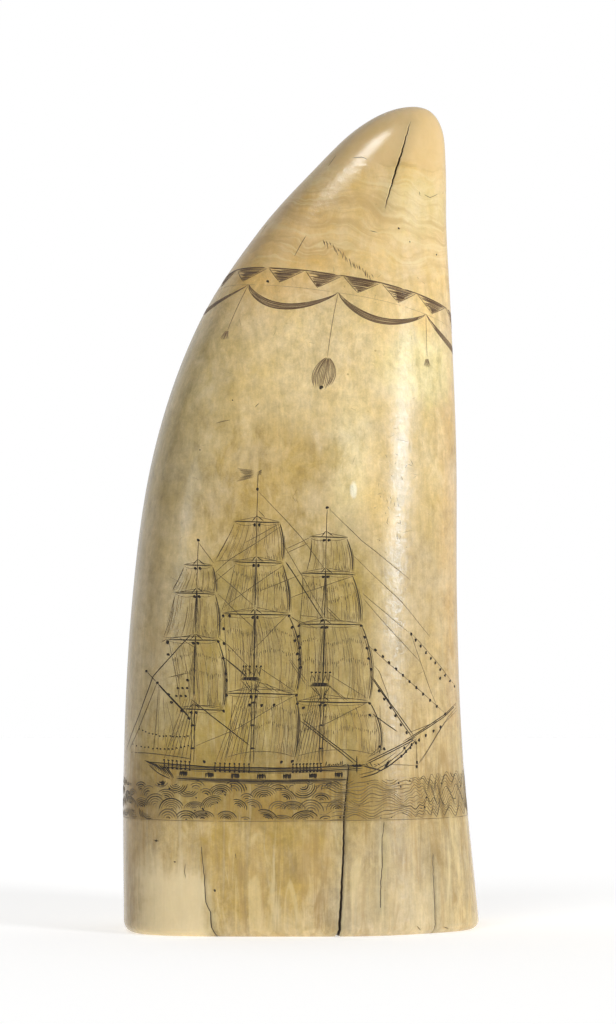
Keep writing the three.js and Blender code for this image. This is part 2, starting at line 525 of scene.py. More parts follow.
def engraveShrouds(pen, mast, firstFoot, lastFoot, number):
    # standing rigging from the top down to its deadeyes along the rail
    up = mast["top"]
    middle = mastLine(mast, up)
    for k, across in enumerate(np.linspace(firstFoot, lastFoot, number)):
        rail = railAt(across)
        spread = middle - 1.8 + 3.0 * k / (number - 1)
        pen.cut(((spread, up - 0.3), (across, rail + 0.9)), 0.1, 0.7)
        pen.cut(((across, rail + 0.75), (across + dice.normal(0, 0.06), rail - 0.9)), 0.24, 1, ends=0.6)
        pen.prick(across, rail + 0.75, 0.42)
        pen.prick(across, rail - 0.8, 0.42)


def railAt(across):
    # the sheer: a parabola that rises to the stem and the stern
    low, middle, rise = ship["sheer"]
    return low + rise * (across - middle) ** 2


def engraveHull(pen):
    stern, stem = ship["stern"], ship["stem"]
    across = np.linspace(stern, stem, 60)
    rail = railAt(across)
    strakes = (0, 0.3, 1, 0), (0.32, 0.14, 0.8, 3), (0.62, 0.3, 0.95, 4), (0.95, 0.12, 0.7, 5)
    for below, width, tone, start in strakes:
        pen.cut(np.stack([across, rail - below], 1)[start:], width, tone)
    for below, width, tone in ((2.35, 0.14, 0.7), (2.62, 0.34, 0.8), (2.85, 0.2, 0.7), (3.1, 0.14, 0.6)):
        lower = np.stack([across, rail - below], 1)[8 : 58 - int(below)]
        pen.cut(lower, width, tone)
    first, pitch, number = ship["ports"]
    for port in first + pitch * np.arange(number):
        top = railAt(port) - 1.05
        for away in np.linspace(-0.68, 0.68, 6):
            lean = dice.normal(0, 0.08)
            pen.cut(((port + away, top), (port + away + lean, top - 1.2)), 0.3, 0.95, ends=0.7)
        pen.cut(((port - 0.75, top - 0.3), (port + 0.7, top - 0.3)), 0.3, 1)
    for k in range(9):  # quarter gallery
        x = stern + 0.25 + 0.55 * k
        top = railAt(x)
        pen.cut(((x - 0.6, top + 0.3 - 0.08 * k), (x + 1.1, top - 0.5 - 0.3 * k)), 0.24, 0.9)
        pen.cut(((x + 0.3, top - 0.2 - 0.25 * k), (x + 0.9, top - 1.1 - 0.25 * k)), 0.12, 0.7)
    pen.cut(((stern + 0.3, railAt(stern) - 0.5), (stern + 2.6, 32.9), (stern + 5.2, 31.8)), 0.2, 0.9)
    for away in (0, 0.25, 0.5):  # rudder head
        pen.cut(((stern + 3.1 + away, 31.6), (stern + 3.2 + away, 30.4)), 0.22, 1)
    # stem, beak and bowsprit
    beak = np.array([(11.8, 32.2), (14.8, 32.9), (17.7, 34.4), (20.6, 36.6), (22.3, 38.4), (23.5, 39.9)])
    pen.cut(beak, 0.26, 0.95)
    pen.cut(beak + (-0.4, 0.5), 0.15, 0.9)
    pen.cut(beak[1:4] + (-1.2, 0.8), 0.12, 0.7)
    for rise in (0, 0.42):
        pen.cut(((13.2, 35.0 + rise), (23.3, 39.7 + rise)), 0.2, 0.95, ends=0.6)
        pen.cut(((20.4, 38.7 + rise), (29.4, 44.2 + rise * 0.8), (32.2, 46.9 + rise * 0.5)), 0.19, 0.95)
    pen.cut(((11.2, 36.8), (11.2, 33.0)), 0.24, 1)  # anchor
    pen.cut(((10.0, 34.6), (12.6, 34.6)), 0.3, 1)
    pen.cut(((12.4, 34.6), (16.6, 33.5)), 0.3, 0.9)
    for lift in (0, 0.35):  # cathead
        pen.cut(((16.6 + lift, 33.9), (17.8 + lift, 35.8)), 0.3, 1)
    for x in np.arange(4.9, 8.2, 0.36):  # the galley and deck house forward
        pen.cut(((x, railAt(x) + 0.1), (x + 0.2, railAt(x) + dice.uniform(0.5, 1.7))), 0.2, 0.9)
    for x in np.arange(8.2, 16, 0.8):
        rise = dice.uniform(-0.3, 0.5)
        pen.cut(((x, 34.9 + rise), (x + dice.uniform(0.5, 1.2), 34.7 - rise)), 0.16, 0.85)


stays = (  # rigging between the masts and to the bowsprit, as paths of (across, up)
    ((-8.8, 90.1), (-0.3, 81.2), (5.2, 73.6)), ((-8.9, 86.4), (-7.2, 84.6)), ((-3.3, 75.8), (4.2, 64.6)),
    ((-3.9, 79.8), (5.0, 64.4)), ((-15.6, 56.5), (-11.0, 52.4), (-1.3, 49.0)),
    ((-11.6, 54.6), (-9.0, 52.6)), ((-20.9, 79.8), (-17.6, 75.4)), ((-17.2, 73.6), (-9.6, 67.0)),
    ((-17.0, 69.4), (-9.4, 62.2)), ((-16.8, 60.6), (-14.6, 58.8), (-10.0, 54.0)),
    ((5.6, 86.5), (12.2, 80.2), (22.2, 72.0)), ((9.9, 77.6), (20.0, 68.0), (26.4, 60.2)),
    ((12.2, 69.6), (22.0, 61.2)), ((12.4, 68.4), (24.4, 55.0)), ((13.0, 59.4), (29.4, 44.8)),
    ((22.0, 61.5), (24.1, 55.8), (26.5, 49.0), (27.6, 46.2)), ((22.3, 61.2), (27.4, 55.6), (31.6, 50.2)),
    ((14.6, 55.0), (15.9, 53.5), (17.3, 49.4), (17.9, 47.0)), ((23.5, 39.6), (23.5, 34.3)),
    ((23.5, 34.3), (29.9, 43.8), (32.2, 46.2)), ((24.0, 34.6), (29.4, 43.0), (32.3, 45.6)),
    ((17.7, 34.7), (23.4, 34.4)), ((20.6, 40.6), (28.8, 43.6)), ((-27.0, 52.4), (-22.6, 53.4)),
    ((-13.4, 75.2), (-18.2, 71.2)), ((-3.6, 75.2), (-15.9, 66.6)), ((-0.3, 73.2), (-8.7, 69.8)),
    ((1.8, 80.8), (-3.2, 78.4)), ((1.4, 79.6), (-3.4, 77.4)), ((11.2, 73.2), (1.2, 69.8), (-2.6, 68.4)),
    ((-2.6, 65.4), (-10.2, 57.6)), ((-15.8, 64.8), (-17.2, 62.4)), ((0.2, 63.0), (-2.2, 64.9)),
    ((-4.2, 82.9), (-14.6, 76.2), (-17.6, 73.4)), ((-4.3, 83.6), (-11.6, 79.6)),
    ((13.8, 47.6), (5.0, 43.2), (0.4, 41.8)), ((-1.0, 49.0), (-5.4, 46.6), (-13.0, 42.2), (-21.8, 38.4)),
    ((-2.6, 56.2), (0.9, 51.0)), ((-2.4, 56.4), (1.4, 51.2)), ((-24.9, 60.6), (-21.0, 58.2)),
    ((7.6, 63.6), (4.9, 66.4)), ((8.4, 63.5), (5.0, 66.8)), ((5.3, 53.2), (13.4, 48.2)),
    ((-9.0, 54.8), (-1.2, 49.6)), ((5.0, 51.2), (9.0, 47.6)), ((5.4, 51.0), (9.6, 47.6)),
    ((-8.2, 51.4), (-5.4, 49.4)), ((-7.6, 51.6), (-4.4, 49.3)),
    ((-28.6, 59.4), (-27.2, 60.2)), ((-13.0, 45.0), (-15.6, 35.6)), ((15.9, 46.9), (16.1, 38.6)),
    ((16.2, 38.6), (13.2, 36.0)), ((16.8, 38.2), (13.8, 36.4)), ((-0.4, 65.0), (4.6, 64.6)),
    ((-2.4, 64.6), (3.6, 62.2)),
)
heavyStays = (
    ((-22.4, 48.1), (-10.4, 38.7)), ((-15.6, 56.5), (-11.0, 52.6)), ((-0.3, 43.9), (10.8, 35.0)),
    ((0.1, 44.2), (11.3, 35.2)), ((13.9, 52.8), (22.5, 40.1)),
    ((-22.3, 61.3), (-30.2, 52.4), (-35.7, 37.4)),
    ((14.2, 45.2), (19.6, 41.2)), ((-3.3, 76.0), (4.4, 64.2)), ((14.3, 52.6), (22.8, 40.4)),
)


def engraveSpanker(pen):
    # the fore-and-aft sail abaft the mizzen mast, with its gaff, boom and two rows of reef points
    gaffFoot, gaffEnd = np.array((-22.6, 44.3)), np.array((-29.2, 51.3))
    boomFoot, boomEnd = np.array((-22.1, 36.0)), np.array((-35.4, 37.0))
    pen.cut((gaffFoot, gaffEnd), 0.34, 1, ends=0.6)
    pen.cut((gaffEnd, (-31.5, 53.6)), 0.16, 0.7)
    pen.cut(bow(boomEnd, boomFoot, 0.35), 0.16, 0.8)
    pen.cut((gaffEnd, (-35.1, 37.2)), 0.14, 0.85)
    pen.cut((gaffEnd + (0.3, 0), (-29.6, 41.8), (-30.0, 37.0)), 0.1, 0.7)
    for low, high in ((0.12, 0.32), (0.34, 0.56)):
        ends = boomEnd + (gaffEnd - boomEnd) * low, boomFoot + (gaffFoot - boomFoot) * high
        for place in bow(ends[0] + (0.4, 0), ends[1] - (0.5, 0), -0.7, 15):
            pen.prick(*(place + dice.normal(0, 0.08, 2)), 0.36, 0.9)
    for k in range(16):
        top = gaffFoot + (gaffEnd - gaffFoot) * dice.uniform(0, 1)
        foot = boomFoot + (boomEnd - boomFoot) * dice.uniform(0, 0.55)
        a, b = np.sort(dice.uniform(0, 1, 2))
        pen.cut((top + (foot - top) * a, top + (foot - top) * b), ship["faintest"], 0.5)
    blocks = (-31.5, 53.6), (-29.2, 51.3), (-26.9, 49.0), (-26.3, 47.4), (-22.7, 44.2), (-23.0, 51.9)
    for across, up in blocks:
        pen.prick(across, up, ship["pricks"])
    for row, up in enumerate((50.3, 48.7)):
        for k in range(3):
            pen.prick(-25.0 + 0.95 * k - 0.3 * row, up, 0.5)


def engravePennant(pen):
    # a small swallow-tailed vane at the main truck
    mast = masts["main"]
    top = mast["truck"][1] + 3.6
    x = mastLine(mast, top)
    pen.cut((mast["truck"], (x, top)), 0.14, 0.8)
    for k in range(11):
        lift = 0.26 * (k - 5)
        tail = x - 3.3 - 0.2 * abs(k - 5), top - 0.6 + lift
        pen.cut(bow((x - 0.8, top - 0.4 + lift * 0.5), tail, 0.1), 0.13, 0.35)
        if k % 2:
            pen.cut(((x + 0.1, top - 0.4 + lift * 0.3), (x + 0.9, top + lift * 0.4)), 0.12, 0.5)


def engraveShip():
    pen = Graver()
    for sail in sails:
        engraveSail(pen, sail)
    for mast in masts.values():
        engraveMast(pen, mast)
    engraveTop(pen, masts["main"])
    engraveTop(pen, masts["fore"])
    engraveShrouds(pen, masts["mizzen"], -27.8, -22.6, 7)
    engraveShrouds(pen, masts["main"], -17.4, -10.6, 8)
    engraveShrouds(pen, masts["fore"], -1.7, 3.9, 9)
    engraveSpanker(pen)
    engravePennant(pen)
    engraveHull(pen)
    for path in stays:
        pen.cut(path, ship["rigging"], 0.7)
    for path in heavyStays:
        pen.cut(path, 0.2, 1, ends=0.6)
    lines = (  # rows of pricks along the head sails and the leeches: from, to, how many
        ((15.0, 58.0), (27.6, 46.2), 10), ((15.7, 49.7), (21.4, 41.1), 6), ((22.3, 61.0), (31.4, 50.1), 10),
        ((-1.9, 62.6), (-0.2, 54.6), 4), ((12.8, 60.6), (14.1, 54.0), 4), ((-0.6, 60.8), (-0.3, 56.2), 3),
        ((-15.6, 62.3), (-15.7, 56.4), 3), ((-15.3, 53.2), (-15.1, 51.9), 2),
        ((-27.2, 59.4), (-27.0, 57.0), 2),
        ((20.2, 36.4), (23.2, 38.9), 4), ((20.8, 37.9), (28.4, 42.0), 6), ((13.9, 44.8), (13.9, 44.8), 1),
        ((15.9, 38.4), (16.8, 38.0), 2), ((-19.6, 35.4), (-19.6, 35.4), 1), ((-1.9, 35.5), (-4.1, 35.4), 2),
        ((-14.6, 64.9), (-14.6, 64.9), 1), ((-5.6, 46.9), (-10.4, 46.9), 3), ((0.4, 46.4), (0.4, 46.4), 1),
        ((23.5, 34.2), (23.5, 35.0), 2), ((29.3, 44.6), (28.3, 51.9), 2), ((4.2, 63.9), (4.9, 62.6), 2),
    )
    for start, end, number in lines:
        for place in np.linspace(start, end, number):
            pen.prick(*(place + dice.normal(0, 0.05, 2)), ship["pricks"])
    return pen.make("ship_engraving")


# ---- the sea: a band round the tooth, of scales of concentric arcs and long rollers

sea = {
    "low": 23.7,
    "high": 31.4,
    "width": 0.2,
    "pitch": 4.0,  # from scale to scale
    "radius": 2.5,
    "rows": (23.7, 25.9, 28.1, 30.1),
    "arcGap": (0.4, 0.55),  # from arc to arc in one group
    "cups": 0.22,  # share of the groups that hang instead of standing
    "rollerGap": 0.54,  # from one long line up to the next
    "foam": 70,  # specks
    "rollers": (9, 29),  # millimetres round from the front middle, between which the waves are long rollers
    "chop": 42,  # and where the steep chop after them ends
}


def runsOf(shown):
    # the unbroken stretches of a line that can be seen, where they are at least four points long
    for run in np.split(np.arange(len(shown)), np.nonzero(np.diff(shown.astype(int)))[0] + 1):
        if shown[run[0]] and len(run) > 3:
            yield run


def engraveScales(pen, along):
    # groups of concentric arcs, humps mostly and some cups, each hiding what lies behind it
    whole = along[-1] - along[0]
    number = int(whole / sea["pitch"])
    centres = []
    for row, up in enumerate(sea["rows"]):
        for k in range(number):
            place = along[0] + (k + 0.5 * (row % 2) + dice.normal(0, 0.12)) * whole / number
            if not sea["rollers"][0] < place < sea["chop"]:
                radius = sea["radius"] * dice.uniform(0.72, 1.2)
                lifted, rise, tilt = dice.normal(0, 0.35), dice.uniform(0.62, 1), dice.normal(0, 0.3)
                centres.append((place, up + lifted, radius, row, rise, tilt))
    centres = np.array(centres)
    for x, up, radius, row, rise, tilt in centres:
        before = centres[(centres[:, 3] < row) & (np.abs(centres[:, 0] - x) < 7)]
        flip = -1 if dice.uniform() < sea["cups"] else 1
        for arc in np.arange(0.45, radius, dice.uniform(*sea["arcGap"])) / radius:
            start, end = dice.uniform(-0.15, 0.5), math.pi - dice.uniform(-0.15, 0.5)
            turn = np.linspace(start, end, 9 + int(6 * arc))
            across, lift = radius * arc * np.cos(turn), radius * arc * rise * np.sin(turn) * flip
            px = x + across * np.cos(tilt) - lift * np.sin(tilt)
            pz = up + across * np.sin(tilt) + lift * np.cos(tilt) + (radius * 0.7 if flip < 0 else 0)
            below = (pz[:, None] - before[None, :, 1]) / before[None, :, 4]
            away = np.hypot(px[:, None] - before[None, :, 0], below)
            shown = (away > before[None, :, 2] * 0.95).all(axis=1)
            shown &= (pz > sea["low"] + 0.05) & (pz < sea["high"] + 0.5 * np.sin(px * 0.9))
            tone = dice.uniform(0.4, 0.95)
            for run in runsOf(shown):
                width = sea["width"] * dice.uniform(0.7, 1.35)
                pen.cutRound(np.interp(px[run], along, allRound), pz[run], width, tone, 0.35)


def engraveRollers(pen, along):
    # long level lines that rise and fall together, folding more and more steeply towards the far end
    start, folds = sea["rollers"]
    for up in np.arange(sea["low"] + 0.3, sea["high"] + 1.5, sea["rollerGap"]):
        place = start - dice.uniform(1, 5)
        while place < sea["chop"]:
            length = dice.uniform(3, 11)
            s = np.linspace(place, place + length, int(length / 0.4) + 3)
            steep = np.clip((s - folds + 6) / 10, 0, 1)
            slow = 0.55 * np.sin(s * 0.62 + up * 0.55) + 0.35 * np.sin(s * 1.27 - up * 0.9 + 1)
            fold = (0.35 + 0.55 * steep) * np.sin(s * (1.3 + 0.55 * steep) + 1.4 * np.sin(up * 0.9))
            level = up + (s - start) * 0.012 + slow * (1 - 0.6 * steep) + fold * (0.35 + 0.65 * steep)
            drawn = (level > sea["low"] - 0.1) & (level < sea["high"] + 0.4 + 1.1 * steep)
            for run in runsOf(drawn):
                width = sea["width"] * dice.uniform(0.5, 1)
                angles = np.interp(s[run], along, allRound)
                pen.cutRound(angles, level[run], width, dice.uniform(0.25, 0.75), 0.35)
            place += length + dice.uniform(-1.2, 0.6)


def engraveSea():
    pen = Graver()
    along = girthAt((sea["low"] + sea["high"]) / 2)
    engraveScales(pen, along)
    engraveRollers(pen, along)
    for _ in range(sea["foam"]):
        s, up = dice.uniform(along[0], along[-1]), dice.uniform(sea["low"], sea["high"])
        pen.pricks.append((float(np.interp(s, along, allRound)), up, dice.uniform(0.25, 0.45), 0.9))
    for piece in np.array_split(np.linspace(along[0], along[-1], 400), 12):
        edge = sea["low"] - 0.15 + 0.08 * np.sin(piece / 7)
        pen.cutRound(np.interp(piece, along, allRound), edge, 0.1, 0.5, 0.6)
    return pen.make("sea_engraving")


# ---- the border: a hatched ring of teeth, swags and tassels

border = {
    "height": 135.4,  # of the ring at x = 0
    "lean": 0.155,  # how far it falls for each millimetre towards +x
    "dip": (5, 1.2, 0.12),
    "teeth": 16,
    "firstTooth": -2.9,  # millimetres round from the front middle
    "toothHeight": 2.95,
    "hatch": 0.19,  # from line to line of a tooth
    "swags": 7,
    "firstSwag": 1.2,
    "hang": 3.4,  # of the hooks below the ring
    "sag": 4.1,
    "thick": 1.25,
    "guide": 3.5,  # how far below the ring its faint second line runs
    "frontTassel": (3.9, 6.9),  # width and length of the large tassel in the middle of the front
    "sideTassel": (1.5, 2.0),
    "marks": (4.2, 141.9, 10, 7.6, 27),  # slanting row: start across and up, run, fall, number
    "cords": (9.6, 13.4, 9.2),  # of the left, middle and right tassels; those round the back alternate
}


def ringAt(angle):
    # height of the border's ring: it falls towards +x, and away from the front by a power of 1 - cos
    back = 1 - np.cos(angle)
    most, power, ease = border["dip"]
    dip = most * back**power / (1 + ease * back**2)
    up = border["height"] - dip
    for _ in range(8):
        across = wallAt(angle, dropAt(up))[..., 0]
        up = border["height"] - border["lean"] * across - dip
    return up


def engraveTooth(pen, angleOf, middle, half):
    # one densely hatched triangle hanging from the ring
    tall = border["toothHeight"] * dice.uniform(0.94, 1.06)
    apex = dice.normal(0, 0.25)
    for drop in np.arange(0.1, tall, border["hatch"]):
        share = drop / tall
        places = np.linspace(-half * (1 - share), half * (1 - share), 8) + middle + apex * share
        places += dice.normal(0, 0.05)
        angles = angleOf(places)
        ups = ringAt(angles) - drop + dice.normal(0, 0.02) + 0.03 * np.sin(places + drop * 5)
        a = int(dice.choice((0, 0, 0, 1, 2)))
        pen.cutRound(angles[a:], ups[a:], dice.uniform(0.13, 0.21), dice.uniform(0.5, 0.9), 0.5)
    for side in (-1, 1):
        t = np.linspace(0, 1, 8)
        angles = angleOf(middle + side * half * (1 - t) + apex * t)
        pen.cutRound(angles, ringAt(angles) - tall * t, 0.13, 0.7, 0.6)


def engraveSwag(pen, angleOf, start, end):
    # a crescent between two hooks, fullest before its middle, filled with long cuts
    t = np.linspace(0, 1, 34)
    angles = angleOf(start + (end - start) * t)
    sag = border["sag"] * np.sin(np.pi * t**0.95) ** 0.8
    middle = ringAt(angles) - border["hang"] - sag
    thick = border["thick"] * np.clip(np.sin(np.pi * t**0.78), 0, 1) ** 0.8
    for share in np.linspace(-0.5, 0.5, 9):
        a, b = (int(dice.integers(0, 5)), int(dice.integers(29, 35))) if abs(share) < 0.45 else (0, 35)
        wander = 0.04 * np.sin(9 * t + dice.uniform(0, 6))
        tone = dice.uniform(0.35, 0.8) if abs(share) < 0.45 else 0.85
        pen.cutRound(angles[a:b], (middle + share * thick + wander)[a:b], 0.15, tone, 0.6)


def engraveTassel(pen, angleOf, hook, cord, wide, tall):
    # a cord from a hook, and a tuft of strands that spread and close again
    top = float(ringAt(angleOf(hook))) - border["hang"]
    t = np.linspace(0, 1, 12)
    foot = hook + 0.03 * cord
    pen.cutRound(angleOf(hook + (foot - hook) * t), top - cord * t, 0.12, 0.6, 0.6)
    low = top - cord
    t = np.linspace(0, 1, 10)
    number = max(int(wide / 0.22), 6)
    for share in np.linspace(-1, 1, number):
        spread = np.sin(np.pi * np.clip(t * 0.76 + 0.03, 0, 1)) ** 0.75 if wide > 3 else 0.25 + 0.75 * t
        stop = dice.uniform(0.86, 1) * (1 - 0.12 * share * share)
        places = foot + share * wide / 2 * spread - 0.03 * tall * t + 0.04 * np.sin(5 * t + 9 * share)
        tone = dice.uniform(0.3, 0.6)
        pen.cutRound(angleOf(places), low - tall * stop * t, 0.15, tone, 0.4)


def engraveBorder():
    pen = Graver()
    girth = girthAt(border["height"] - 2.5)
    whole = girth[-1] - girth[0]

    def angleOf(along):
        return np.interp((np.asarray(along) - girth[0]) % whole + girth[0], girth, allRound)

    pitch = whole / border["teeth"]
    for k in range(border["teeth"]):
        engraveTooth(pen, angleOf, border["firstTooth"] + k * pitch, pitch * 0.495)
    for part in np.array_split(np.linspace(-math.pi, math.pi, 260), 10):
        for drop, width, tone in ((-0.04, 0.2, 0.85), (border["guide"], 0.06, 0.3)):
            pen.cutRound(part, ringAt(part) - drop, width, tone, 0.6)
    step = whole / border["swags"]
    for k in range(border["swags"]):
        hook = border["firstSwag"] + k * step
        engraveSwag(pen, angleOf, hook, hook + step)
        place = 1 if k == 0 else (2 if k % 2 else 0)
        wide, tall = border["sideTassel" if k else "frontTassel"]
        engraveTassel(pen, angleOf, hook, border["cords"][place], wide, tall)
    firstX, firstUp, run, fall, number = border["marks"]
    for share in np.linspace(0, 1, number):  # short strokes where a name might have been
        x = firstX + run * share + dice.normal(0, 0.12)
        up = firstUp - fall * share + dice.normal(0, 0.2)
        tall = dice.uniform(0.8, 1.9)
        pen.cut(((x, up), (x + dice.uniform(0.1, 0.5), up - tall)), 0.12, 0.7)
    return pen.make("border_engraving")


shipPiece = engraveShip()
seaPiece = engraveSea()
borderPiece = engraveBorder()
print("stage 2: engraving made")


# ---- small marks of age: pits, nicks and short hairline cracks

def markAge():
    pen = Graver()
    pits = (
        (-6.9, 133.0, 0.6), (4.0, 111.2, 0.8), (27.8, 138.9, 0.4), (-29.4, 19.4, 0.5), (-25.6, 15.2, 0.35),
        (-17.5, 9.5, 0.5), (19.9, 144.0, 0.45), (22.2, 141.3, 0.3), (-20.6, 98.5, 0.3), (-14, 108.6, 0.3),
    )
    for across, up, size in pits:
        pen.prick(across, up, size, 0.8)
    hairs = (
        ((7.3, 159.5), (6.2, 158.0), (5.5, 157.0)), ((-7.0, 145.4), (-8.1, 143.7)),
        ((24.2, 151.8), (24.4, 150.8)), ((25.2, 151.2), (26.3, 150.6), (27.3, 151.0), (28.2, 151.6)),
        ((-23.5, 14.8), (-23.7, 13.2), (-23.3, 11.8)),
        ((-30.2, 19.6), (-28.8, 19.3)), ((23.4, 2.0), (24.4, 0.9)), ((29.0, 1.4), (30.2, 0.7)),
        ((13.9, 143.4), (15.6, 142.9)), ((-9.6, 107.2), (-8.6, 108.0)), ((-17.4, 104), (-14.2, 104.6)),
        ((10.2, 158.6), (12.6, 158.9), (13.6, 158.3)), ((1.0, 142.6), (-1.6, 138.0)),
        ((-13.5, 17.0), (-13.2, 15.8)),
    )
    for path in hairs:
        pen.cut(path, 0.14, 0.5, ends=0.1, wobble=0.08)
    for _ in range(30):  # scratches and tiny pits where the tooth has been rubbed most
        across, up = dice.normal(18.2, 2), dice.normal(87, 6)
        lean = dice.normal(0, 0.9, 2)
        pen.cut(((across, up), (across + lean[0] * 0.6, up + lean[1])), 0.09, 0.5, wobble=0.05)
    edge = np.linspace(0, 1, 9)  # a dark split on the left edge below the tip
    pen.cutRound(-1.42 - 0.05 * edge, 147.5 - 7 * edge, 0.45, 1, 0.1)
    for _ in range(46):  # fine scratches over the whole tooth
        up = dice.uniform(40, 140)
        x, _, halfWidth, _, _, _ = sectionAt(dropAt(up))
        across = x + halfWidth * dice.uniform(-0.8, 0.85)
        lean = dice.normal(0, 1, 2)
        pen.cut(((across, up), (across + lean[0] * 1.1, up + lean[1] * 1.1)), 0.05, 0.35)
    return pen.make("age_marks")


agePiece = markAge()


# ---- the tooth itself

def stainAt(across, up, front):
    # 0 to 1: pigment rubbed into the sails, the hull and the sea; each area fades out over its edge
    def inside(value, low, high, soft):
        return np.clip((value - low) / soft + 0.5, 0, 1) * np.clip((high - value) / soft + 0.5, 0, 1)

    paler = np.interp(across, [8, 22], [1, 0.45])
    stain = inside(up, sea["low"] - 0.2, sea["high"] + 0.2, 1) * paler
    for sail in sails:
        share = np.clip((sail[2] - up) / (sail[2] - sail[5]), 0, 1)
        left, right, _ = sailEdges(sail, share)
        area = inside(across, left, right, 1.1) * inside(up, sail[5], sail[2], 1.1)
        stain = np.maximum(stain, 0.16 * area * front)
    hull = inside(across, -31, 15, 2) * inside(up, 31, 35.4, 0.8)
    deck = inside(across, -34, 17, 4) * inside(up, 33, 38.4, 2.5)
    return np.maximum(np.maximum(stain, 1.0 * hull * front), 0.7 * deck * front)


def makeTooth():
    rows, columns = toothForm["rows"], toothForm["columns"]
    rimDrop = dropAt(toothForm["rim"])
    drops = rimDrop * np.linspace(0, 1, rows + 1)[1:] ** toothForm["crowding"]
    turn = np.linspace(0, np.pi / 2, 7)[1:]
    rimUps = toothForm["rim"] * (1 - np.sin(turn))
    rimInsets = toothForm["rim"] * (1 - np.cos(turn))
    ups = np.concatenate([height * (1 - drops**2), rimUps])[:, None]
    insets = np.concatenate([np.zeros(rows), rimInsets])[:, None]
    angles = np.tile(np.linspace(-np.pi, np.pi, columns, endpoint=False), (len(ups), 1))
    for crack in cracks:
        angles = gatherColumns(angles, ups, crack)
    x, y, halfWidth, halfDepth, exponent, skew = sectionAt(dropAt(ups))
    outer = ringPoint(angles, (x, y, halfWidth - insets, halfDepth - insets, exponent, skew), ups)
    outward = facingOut(outer)
    lift = swellAt(angles, ups) * (insets == 0)
    gap = np.full(lift.shape, 3.0)
    crackShade = np.zeros(lift.shape)
    for crack in cracks:
        line, gape, begun = crackAt(crack, ups)
        away = np.abs(angles - line) * np.linalg.norm(outer[..., :2] - np.stack([x, y], -1), axis=-1)
        within = (ups < crack["path"][0][1]) & (ups > crack["path"][-1][1] - 0.01)
        share = np.where(within, away / np.maximum(gape * begun, 0.02), 9)
        lift = lift - crack["depth"] * begun * np.clip(1 - share, 0, 1) * np.minimum(gape / 0.2, 1)
        gap = np.minimum(gap, share + crack["faint"])
        past = np.clip(np.maximum(ups - crack["path"][0][1], crack["path"][-1][1] - ups), 0, 9)
        # a soft band along each crack and a little past its ends, which the material darkens as painted
        # shade
        crackShade = np.maximum(crackShade, np.clip(1 - (away + past) / (1 + 2.2 * crack["width"][1] * 2), 0, 1) ** 1.5)
    outer = outer + outward * lift[..., None]

    # root face, rounded mouth and pulp cavity, with the columns as they are at the rim
    low = angles[-1:]
    root = sectionAt(np.array([[1.0]]))
    wall, mouthRound = toothForm["wall"], toothForm["mouthRound"]
    flat = np.linspace(toothForm["rim"], wall - mouthRound, 7)[1:, None]
    mouthTurn = np.linspace(0, np.pi / 2, 5)[1:, None]
    insets = np.concatenate([flat, wall - mouthRound * (1 - np.sin(mouthTurn))])
    faceUps = np.concatenate([np.zeros_like(flat), mouthRound * (1 - np.cos(mouthTurn))])
    blend = np.clip((insets - toothForm["rim"]) / (wall - toothForm["rim"]), 0, 1)
    faceExponent = root[4] + (toothForm["pulpExponent"] - root[4]) * blend
    faceSection = root[0], root[1], root[2] - insets, root[3] - insets, faceExponent, root[5] * (1 - blend)
    face = ringPoint(low, faceSection, faceUps)
    share = np.linspace(1, 0, 25)[1:-1, None]
    pulpUps = mouthRound + (toothForm["pulpDepth"] - mouthRound) * (1 - share ** toothForm["pulpTaper"])
    x, y, _, _, _, _ = sectionAt(dropAt(pulpUps))
    pulpSection = x, y, (root[2] - wall) * share, (root[3] - wall) * share, toothForm["pulpExponent"], 0
    pulp = ringPoint(low, pulpSection, pulpUps)
    for crack in cracks[:1]:  # the widest crack runs in across the root face
        line, gape, _ = crackAt(crack, np.array([[0.0]]))
        fromMiddle = np.linalg.norm(face[..., :2] - np.stack([root[0], root[1]], -1), axis=-1)
        away = np.abs(low - line) * fromMiddle
        fade = np.clip(1 - (insets - 2) / 5, 0, 1)
        groove = crack["depth"] * fade * np.clip(1 - away / gape, 0, 1)
        face[..., 2] += groove
        faceGap = np.where(fade > 0.1, away / gape / np.maximum(fade, 0.1), 3)

    tip = wallAt(np.zeros(1), np.zeros(1))
    cavityTop = np.array([[x[-1, 0], y[-1, 0], toothForm["pulpDepth"]]])
    stack = np.concatenate([outer, face, pulp])
    count = len(stack)
    points = np.concatenate([tip, stack.reshape(-1, 3), cavityTop])
    first, last = np.arange(columns) + 1, np.arange(columns) + 1 + (count - 1) * columns
    faces = gridFaces(count, columns, 1)
    faces += np.stack([np.zeros(columns, int), first, np.roll(first, -1)], 1).tolist()
    faces += np.stack([np.full(columns, len(points) - 1), np.roll(last, -1), last], 1).tolist()
    stain = stainAt(outer[..., 0], outer[..., 2], outer[..., 1] < 0)
    inner = np.zeros((count - len(outer), columns))

    def pad(values, end):
        # the tip takes its neighbour's value
        return np.concatenate([values[0, :1], values.ravel(), [end]])

    return addPiece("ivory_tooth", points, faces, {
        "stain": pad(np.concatenate([stain, inner]), 0),
        "gap": pad(np.concatenate([gap, np.minimum(faceGap, 3), inner[len(face):] + 3]), 3),
        "crackShade": pad(np.concatenate([crackShade, inner]), 0),
    })


toothPiece = makeTooth()
print("stage 3: tooth made,", len(toothPiece.data.polygons), "faces")


# ---- materials

